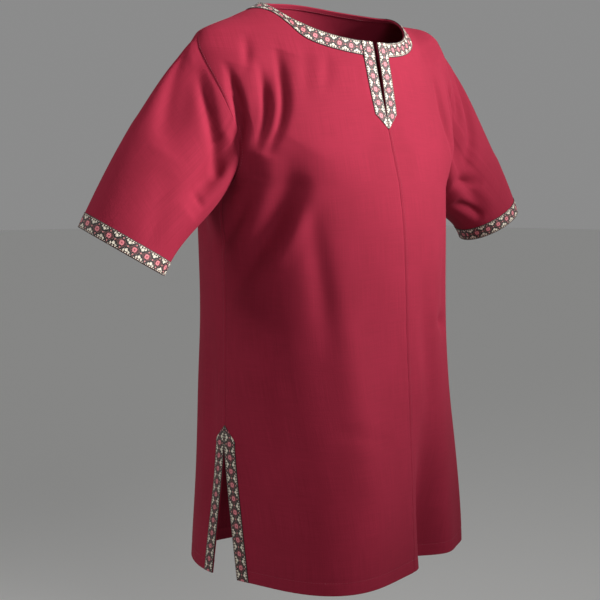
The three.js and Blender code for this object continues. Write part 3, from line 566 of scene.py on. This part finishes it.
def sleeve_points(hand, columns, shares):
    """Lines from the armhole to the cuff's ellipse: cubics that leave along the shoulder's slope on top and
    along the arm below, and arrive along the arm, moved outwards by the folds. columns counts armhole rows
    round the arm, and shares may be a function of a line's length."""
    cuff, along, outer, ahead, half_width, half_depth = SLEEVES[hand]
    cuff, along, outer, ahead = (np.array(v, float) for v in (cuff, along, outer, ahead))
    along = unit(along)
    front, back = panels["front", hand][1], panels["back", hand][1]
    loop = np.concatenate([front[ARMPIT_ROW:, -1], back[ARMPIT_ROW:-1, -1][::-1]])
    climb = np.arange(CLIMB_ROWS + 1)
    round_front = -90 + 180 * CLIMB_SHARES
    rounds = np.concatenate([round_front, 180 - round_front[-2::-1]])
    place = np.arange(len(loop))
    start = np.stack([np.interp(columns, place, loop[:, k]) for k in range(3)], -1)
    rounding = np.interp(columns, place, rounds)
    slope = unit(front[-1, -1] - front[-1, len(BAND) - 1])
    lift = LEAVE_SLOPE * np.clip(np.sin(np.radians(rounding)), 0, 1)[:, None]
    leave = unit(along + (slope - along) * lift)
    end = cuff + outer * half_width * np.sin(np.radians(rounding))[:, None]
    end = end + ahead * half_depth * np.cos(np.radians(rounding))[:, None]
    length = np.linalg.norm(end - start, axis=1)
    if not callable(shares):
        t = np.broadcast_to(np.asarray(shares)[:, None], (len(shares), len(end)))
    else:
        t = shares(length)
    t = t[..., None]
    long = length[:, None]
    raw = (1 + 2 * t) * (1 - t) ** 2 * start + t * (1 - t) ** 2 * leave * long
    raw = raw + t * t * (3 - 2 * t) * end + t * t * (t - 1) * along * long
    normals = grid_normals(raw)
    middle = raw.mean(1, keepdims=True)
    normals = normals * np.sign((normals * (raw - middle)).sum(-1).mean())
    for _ in range(3):
        normals[1:-1] = unit(normals[:-2] + normals[1:-1] + normals[2:])
        normals = unit(np.roll(normals, 1, 1) + normals + np.roll(normals, -1, 1))
    down = np.broadcast_to(t[..., 0] * SLEEVE_LENGTH, raw.shape[:2])
    folds = [(a, b * SLEEVE_LENGTH, c, d * SLEEVE_LENGTH, *rest) for a, b, c, d, *rest in SLEEVE_FOLDS[hand]]
    push = fold_depth(np.broadcast_to(rounding, down.shape), down, folds, MM_PER_ARM_DEGREE)
    push = push * smooth(t[..., 0] / FOLDS_BEGIN)
    points = raw + normals * push[..., None]
    sink = SEAM_SINK * np.exp(-((t[..., 0] * long[:, 0] / SEAM_SINK_WIDTH) ** 2))
    points = points - normals * (sink * (t[..., 0] > 0))[..., None]
    return points, normals


SLEEVE_SHARES = np.concatenate([[0, 0.006, 0.014], np.linspace(0.03, 1, 54)])
SLEEVE_COLUMNS = np.arange(2 * CLIMB_ROWS)
GIRTH_LINE = 30  # the line whose lengths number the warp
for hand in ("right", "left"):
    points, normals = sleeve_points(hand, SLEEVE_COLUMNS, SLEEVE_SHARES)
    steps_down = np.linalg.norm(np.diff(points, axis=0), axis=-1)
    v = np.concatenate([np.zeros((1, points.shape[1])), np.cumsum(steps_down, 0)])
    u = np.broadcast_to(runs(points[GIRTH_LINE])[None], v.shape)
    piece = cloth_object(f"sleeve_{hand}_canvas", points, np.stack([u, v], -1), CANVAS, CANVAS_THICK,
                         closed=True)
    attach(piece, "root")
    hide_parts(f"sleeve_{hand}")

# ---------------------------------------------------------------- stitching
# Topstitching in matching thread: one row beside the centre seam, the felled side, armhole and shoulder
# seams, and one along the hem. Stitches are 2.7 mm long and 3.8 mm apart, of thread 0.45 mm thick.


def thread_material():
    """Spun polyester thread, a shade lighter than the cloth, its ply a fine slanting twist."""
    material, tree, shader = new_material("crimson thread")
    place = add(tree, "TexCoord").outputs["Object"]
    twist = add(tree, "TexWave", {"Vector": place, "Scale": 900.0, "Distortion": 1.0},
                bands_direction="DIAGONAL")
    colour = add(tree, "Mix", {"Factor": twist.outputs["Color"], 6: linear("#741a2c"), 7: linear("#8f2a40")},
                 data_type="RGBA")
    tree.links.new(colour.outputs[2], shader.inputs["Base Color"])
    shader.inputs["Roughness"].default_value = 0.55
    return material


THREAD = thread_material()


def along_line(where, run, line):
    """A line's values at lengths along it, straight between its points."""
    return np.stack([np.interp(where, run, line[:, k]) for k in range(3)], -1)


def stitch_object(name, rows, pitch=3.8, length=2.7, thick=0.45, rise=0.2):
    """Rows of stitches as one mesh, each row a line of (points, normals). A stitch is a four-sided bar
    through three rings, raised in the middle, its ends sunk into the cloth."""
    bars = []
    for points, normals in rows:
        run = runs(points)
        count = int(run[-1] // pitch)
        middle = (np.arange(count) + 0.5) * run[-1] / count
        ahead = unit(along_line(middle + 1, run, points) - along_line(middle - 1, run, points))
        rings = []
        for shift, lift in ((-length / 2, -rise), (0, rise), (length / 2, -rise)):
            up = unit(along_line(middle + shift, run, normals))
            centre = along_line(middle + shift, run, points) + up * lift
            side = unit(np.cross(up, ahead))
            rings.append(np.stack([centre + way * thick / 2 for way in (side, up, -side, -up)], 1))
        bars.append(np.stack(rings, 1))
    vertices = np.concatenate(bars).reshape(-1, 3) / 1000
    sides = [(4 * k + i, 4 * k + (i + 1) % 4, 4 * k + 4 + (i + 1) % 4, 4 * k + 4 + i)
             for k in (0, 1) for i in range(4)]
    pattern = np.array(sides + [(3, 2, 1, 0), (8, 9, 10, 11)])
    faces = (pattern[None] + 12 * np.arange(len(vertices) // 12)[:, None, None]).reshape(-1, 4)
    mesh = bpy.data.meshes.new(name)
    mesh.from_pydata(vertices.tolist(), [], faces.tolist())
    mesh.shade_smooth()
    mesh.materials.append(THREAD)
    made = bpy.data.objects.new(name, mesh)
    bpy.context.collection.objects.link(made)
    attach(made, "root")
    return made


HEM_ROW, TOPSTITCH, SHOULDER_ROW = 6, 3, -3  # grid lines that the rows of stitches follow
for (side, hand), (surface, points, normals) in panels.items():
    lines = [(slice(ARMPIT_ROW, None), -1 - TOPSTITCH), (HEM_ROW, slice(None))]
    if side == "back":
        lines += [(slice(VENT_ROW, ARMPIT_ROW + 1), -1 - TOPSTITCH), (SHOULDER_ROW, slice(None))]
    elif hand == "left":
        lines += [(slice(0, SLIT_ROW + 1), TOPSTITCH)]
    stitch_object(f"stitches_{side}_{hand}", [(points[line], normals[line]) for line in lines])

# ---------------------------------------------------------------- neckline ribbon
# Jacquard ribbon, 22 mm wide: a near-black ground with a row of rosettes between scalloped palmettes, woven
# in cream, rose and brown with a thin cream line inside each dark selvedge. Laid on the outside, round the
# whole neck.

# A quarter of the repeat, one letter to a thread group: rows run from the selvedge to the middle, and
# columns from a rosette's centre to a palmette's. It is mirrored both ways.
CHART = [
    "kkkkkkkkk",
    "bkcbbcbbc",
    "kkkkkckkk",
    "rkkkccckc",
    "rkkkkckcc",
    "kkbkkkkcc",
    "kmmbkkkkc",
    "ppmmbkkkk",
    "pppmmbkkk",
    "dppmmmbkr",
]
YARN = {"k": "#170e10", "c": "#c9bfad", "r": "#a86a68", "b": "#5f4038", "m": "#40141d", "p": "#bd6a70",
        "d": "#7e303c"}
REPEAT = 19.2
RIBBON_THICK = 0.8
LAID = 0.05  # air under a ribbon

quarter = np.array([[linear(YARN[letter])[:3] for letter in row] for row in CHART])
half_chart = np.concatenate([quarter, quarter[::-1]], 0)
REPEAT_COLOURS = np.concatenate([half_chart, half_chart[:, ::-1]], 1)
ACROSS, ALONG = REPEAT_COLOURS.shape[:2]


def ribbon_material():
    """Polyester jacquard: floats lie along the ribbon and catch a slight gloss. Its threads are taken as
    0.4 mm apart and are drawn 1.1 mm apart along it and 0.8 mm across, so that they show."""
    material, tree, shader = new_material("jacquard ribbon")
    place, weave = weave_height(tree, 0.0011, 0.0008)
    woven = add(tree, "VertexColor", layer_name="yarn")
    tree.links.new(woven.outputs["Color"], shader.inputs["Base Color"])
    bump = add(tree, "Bump", {"Height": weave, "Strength": 0.4, "Distance": 0.0003})
    tree.links.new(bump.outputs[0], shader.inputs["Normal"])
    shader.inputs["Roughness"].default_value = 0.62
    shader.inputs["Sheen Weight"].default_value = 0.1
    shader.inputs["Specular IOR Level"].default_value = 0.35
    return material


RIBBON = ribbon_material()


def ribbon_object(name, strip, normals, distance, lift, closed=False):
    """A ribbon from a strip of cloth points (rows along it, columns across), laid lift millimetres above
    them. distance is each point's length along the ribbon, which places the woven repeat."""
    points = strip + normals * (lift[..., None] if np.ndim(lift) else lift)
    across = np.linspace(0, RIBBON_WIDTH, points.shape[1])
    lengths = np.stack(np.broadcast_arrays(distance, across), -1)
    swapped = points.transpose(1, 0, 2) if closed else points
    turned = lengths.transpose(1, 0, 2) if closed else lengths
    made = cloth_object(name, swapped, turned, RIBBON, RIBBON_THICK, closed=closed)
    made.modifiers["thickness"].offset = 1
    mesh = made.data
    corner_uv = np.empty(len(mesh.loops) * 2, np.float32)
    mesh.uv_layers["thread"].data.foreach_get("uv", corner_uv)
    centre = corner_uv.reshape(-1, 4, 2).mean(1) * 1000
    column = np.clip((centre[:, 1] / RIBBON_WIDTH * ACROSS).astype(int), 0, ACROSS - 1)
    row = (centre[:, 0] / REPEAT * ALONG).astype(int) % ALONG
    colours = np.concatenate([REPEAT_COLOURS[column, row], np.ones((len(row), 1))], 1)
    yarn = mesh.color_attributes.new("yarn", "FLOAT_COLOR", "CORNER")
    yarn.data.foreach_set("color", np.repeat(colours, 4, 0).ravel().astype(np.float32))
    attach(made, "root")
    return made


def strip_on(surface, edge, inside):
    """Creased points and normals of a strip of the trunk between two lines of places."""
    share = np.linspace(0, 1, ACROSS + 1)[None, :, None]
    places = edge[:, None] + (inside - edge)[:, None] * share
    return surface(places, True), surface_normal(surface, places, True)


def along_strip(points, normals):
    """A strip spaced again along its length into the repeat's thread groups, with the length at each row."""
    middle = points[:, points.shape[1] // 2]
    run = runs(middle)
    count = int(round(run[-1] / (REPEAT / ALONG)))
    goal = np.linspace(0, run[-1], count + 1)
    again = [np.stack([along_line(goal, run, grid[:, c]) for c in range(grid.shape[1])], 1)
             for grid in (points, normals)]
    return again[0], unit(again[1]), goal[:, None]


def neck_strip(width):
    """Points and normals of a strip of the cloth that wide round the whole neckline, from slit edge to slit
    edge."""
    quarters = []
    for side, hand, turned in (("front", "right", 1), ("back", "right", -1), ("back", "left", 1),
                               ("front", "left", -1)):
        surface = panels[side, hand][0]
        start = math.degrees(math.asin(SLIT_HALF_GAP / NECK_HALF_WIDTH)) if side == "front" else 0
        neck = spaced(surface, neckline(surface, np.linspace(start, 90, 200)), np.linspace(0, 1, 120))
        neck[-1] = 90, 0
        inside = inset(surface, neck, width, (0, -1))
        inside[0] = (neck[0, 0], inside[0, 1]) if side == "back" else inside[0]
        end = shoulder_place(surface, 0, width)
        inside = inside + (end - inside[-1]) * smooth(np.linspace(-1, 1, len(inside)))[:, None]
        found = strip_on(surface, neck, inside)
        quarters.append([grid[::turned][1 if len(quarters) else 0:] for grid in found])
    return (np.concatenate([q[k] for q in quarters]) for k in (0, 1))


points, normals, distance = along_strip(*neck_strip(RIBBON_WIDTH))
piece = ribbon_object("neck_ribbon", points, normals, distance, LAID)
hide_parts("neck_trim")

# ---------------------------------------------------------------- turned neck hem
# The canvas's own raw edge round the neckline, turned 7 mm to the inside and stitched down by one row. It
# shows inside the back of the neck.

TURNED, TURNED_THICK, TURNED_GAP = 7.0, 1.0, 0.02
TURNED_STITCHES = -4  # the line of the turned edge that its stitches follow
points, normals, distance = along_strip(*neck_strip(TURNED))
under = points - normals * (CANVAS_THICK + TURNED_GAP)
across = np.linspace(0, TURNED, points.shape[1])
lengths = np.stack(np.broadcast_arrays(distance, across), -1)
hem = cloth_object("neck_hem", under, lengths, CANVAS, TURNED_THICK)
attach(hem, "root")
inwards = -normals[:, TURNED_STITCHES]
stitch_object("stitches_neck", [(under[:, TURNED_STITCHES] + inwards * TURNED_THICK, inwards)])

# ---------------------------------------------------------------- slit ribbons
# The same ribbon down both sides of the slit, each length cut off at the neckline over the neck ribbon's
# end, and folded to a mitre at the foot so that the two meet in a point.

EDGE_GAP = 0.15
OVERLAP_LIFT = 0.9  # over the end of the neck ribbon
SLIT_COUNT = 130


def off_the_edge(points):
    """A strip with its two outer lines of points moved in from the cloth's edge."""
    points[:, :2] += unit(points[:, 2:3] - points[:, :1]) * EDGE_GAP
    return points


for hand in ("right", "left"):
    surface = panels["front", hand][0]
    heights = np.linspace(SLIT_TIP, FRONT_NECK, SLIT_COUNT)
    edge = np.stack([slit_away(heights), heights], 1)
    swing = np.linspace(math.degrees(math.asin(SLIT_HALF_GAP / NECK_HALF_WIDTH)), 40, 200)
    neck = neckline(surface, swing)
    top = neck[np.argmin(np.abs(runs(surface(neck)) - RIBBON_WIDTH))]
    inner = np.linspace(SLIT_TIP + RIBBON_WIDTH, top[1], SLIT_COUNT)
    inside = beside(surface, np.stack([slit_away(inner), inner], 1), RIBBON_WIDTH)
    points, normals = strip_on(surface, edge, inside)
    points = off_the_edge(points)
    distance = heights[:, None] + (inner - heights)[:, None] * np.linspace(0, 1, ACROSS + 1) - SLIT_TIP
    over = smooth((distance - (FRONT_NECK - SLIT_TIP - RIBBON_WIDTH) + 3) / 3)
    piece = ribbon_object(f"slit_ribbon_{hand}", points, normals, distance, LAID + OVERLAP_LIFT * over)
    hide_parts(f"slit_trim_{hand}")

# ---------------------------------------------------------------- cuff ribbons
# One turn of the same ribbon on the outside of each cuff, along its edge. Its ends meet under the arm, in
# line with the sleeve's seam.


def cuff_lines(length):
    """Shares of the sleeve's lines that lie under the ribbon, from the cuff's edge up."""
    return 1 - RIBBON_WIDTH * np.linspace(0, 1, ACROSS + 1)[:, None] / length


for hand in ("right", "left"):
    columns = np.linspace(0, 2 * CLIMB_ROWS, 4 * CLIMB_ROWS, endpoint=False)
    points, normals = sleeve_points(hand, columns, cuff_lines)
    ring = runs(np.concatenate([points[0], points[0][:1]]))
    goal = np.linspace(0, ring[-1], int(round(ring[-1] / (REPEAT / ALONG))), endpoint=False)
    columns = np.interp(goal, ring, np.append(columns, 2 * CLIMB_ROWS))
    points, normals = sleeve_points(hand, columns, cuff_lines)
    piece = ribbon_object(f"cuff_ribbon_{hand}", points.transpose(1, 0, 2), normals.transpose(1, 0, 2),
                          goal[:, None], LAID, closed=True)
    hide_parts(f"cuff_trim_{hand}")

# ---------------------------------------------------------------- vent ribbons
# A length of the same ribbon up each edge of both side vents, sewn on the outside. Each pair is mitred at
# the top, where it meets on the side seam.

VENT_COUNT = 200
for hand in ("right", "left"):
    for side in ("front", "back"):
        surface = panels[side, hand][0]
        heights = np.linspace(HEM, VENT_TIP, VENT_COUNT)
        low = np.linspace(HEM, VENT_TIP - RIBBON_WIDTH, VENT_COUNT)
        edge = np.stack([vent_away(side, heights), heights], 1)
        inside = beside(surface, np.stack([vent_away(side, low), low], 1), -RIBBON_WIDTH)
        points, normals = strip_on(surface, edge, inside)
        points = off_the_edge(points)
        distance = (heights - HEM)[:, None] - (heights - low)[:, None] * np.linspace(0, 1, ACROSS + 1)
        piece = ribbon_object(f"vent_ribbon_{side}_{hand}", points, normals, distance, LAID)
        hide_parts(f"vent_trim_{side}_{hand}")

# ---------------------------------------------------------------- studio
# A plain pale floor and an even surround, with soft square lights in front of the left shoulder, from the
# right and behind, and in front of the right shoulder.

FLOOR_LEVEL, FLOOR_REACH = -1.2, 30
floor_mesh = bpy.data.meshes.new("floor")
floor_mesh.from_pydata([(x * FLOOR_REACH, y * FLOOR_REACH, FLOOR_LEVEL) for x, y in
                        ((-1, -1), (1, -1), (1, 1), (-1, 1))], [], [(0, 1, 2, 3)])
floor = bpy.data.objects.new("floor", floor_mesh)
bpy.context.collection.objects.link(floor)
floor_paint, tree, shader = new_material("pale floor")
shader.inputs["Base Color"].default_value = linear("#f4f4f2")
shader.inputs["Roughness"].default_value = 0.9
floor_mesh.materials.append(floor_paint)

world = bpy.data.worlds.new("surround")
world.use_nodes = True
world.node_tree.nodes["Background"].inputs["Color"].default_value = (1, 1, 1, 1)
world.node_tree.nodes["Background"].inputs["Strength"].default_value = 0.26
bpy.context.scene.world = world


def soft_light(name, place, target, size, watts, spread):
    """A square area light of that size in metres, turned towards a target, its beam narrowed to spread
    degrees."""
    lamp = bpy.data.lights.new(name, "AREA")
    lamp.size, lamp.energy, lamp.spread = size, watts, math.radians(spread)
    made = bpy.data.objects.new(name, lamp)
    bpy.context.collection.objects.link(made)
    made.location = place
    way = np.array(target, float) - np.array(place, float)
    tilt = math.atan2(math.hypot(way[0], way[1]), -way[2])
    made.rotation_euler = (tilt, 0, math.atan2(way[1], way[0]) - math.pi / 2)
    return made


soft_light("key", (1.3, -1.9, 0.8), (-0.2, -0.1, -0.02), 0.8, 11.5, 36)
soft_light("fill", (-2.2, 1.0, 0.9), (-0.25, 0, -0.2), 0.7, 5.5, 80)
soft_light("front", (-0.9, -2.0, 0.2), (0, 0, -0.05), 0.8, 3, 80)

lens = bpy.data.cameras.new("camera")
lens.lens, lens.sensor_width = 82.5, 36
lens.clip_end = 100
camera = bpy.data.objects.new("camera", lens)
bpy.context.collection.objects.link(camera)
camera.location = (-1.4849, -1.4849, -0.276)
camera.rotation_euler = (math.radians(90 - 4.367), 0, math.radians(-45 + 1.083))
bpy.context.scene.camera = camera
bpy.context.scene.view_settings.view_transform = "Standard"
